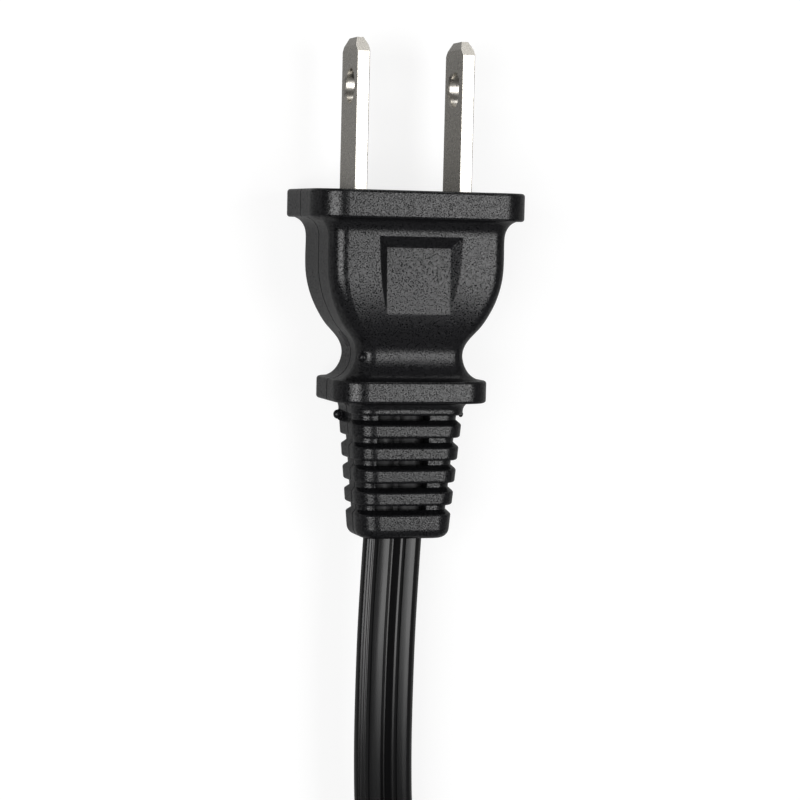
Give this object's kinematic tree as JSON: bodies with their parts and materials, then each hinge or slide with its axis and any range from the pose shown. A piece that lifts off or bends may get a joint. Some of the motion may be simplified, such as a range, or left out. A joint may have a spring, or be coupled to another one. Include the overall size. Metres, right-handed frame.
{
  "type": "type a plug",
  "caption": "Moulded two-blade mains plug with flange, thumb recess, collar and ribbed strain relief, on a flat twin cord folded into a tied hank with tinned ends.",
  "frame": {"origin": "centre of the mating face, midway between the blades", "axes": "+Y out of the mating face along the blades, X from blade to blade, +Z out of the front face"},
  "size_m": [0.0581, 0.2235, 0.0227],
  "materials": {
    "plug_pvc": "moulded with a spark-eroded grain",
    "blade_metal": "nickel-plated, satin faces",
    "bridge_plastic": "plain moulded",
    "copper": "bare stranded copper",
    "cord_pvc": "extruded, glossy",
    "tie_fabric": "woven strap",
    "tinned_copper": "solder-dipped"
  },
  "bodies": {
    "root": {"plug_body": "plug_pvc", "blade_left": "blade_metal", "blade_right": "blade_metal", "blade_bridge": "bridge_plastic", "strands_left": "copper", "strands_right": "copper", "cord_root": "cord_pvc", "cord_lead": "cord_pvc", "cord_hank": "cord_pvc", "hank_tie": "tie_fabric", "cord_tail": "cord_pvc", "tail_core_left": "cord_pvc", "tail_core_right": "cord_pvc", "tinned_end_left": "tinned_copper", "tinned_end_right": "tinned_copper"}
  },
  "joints": []
}
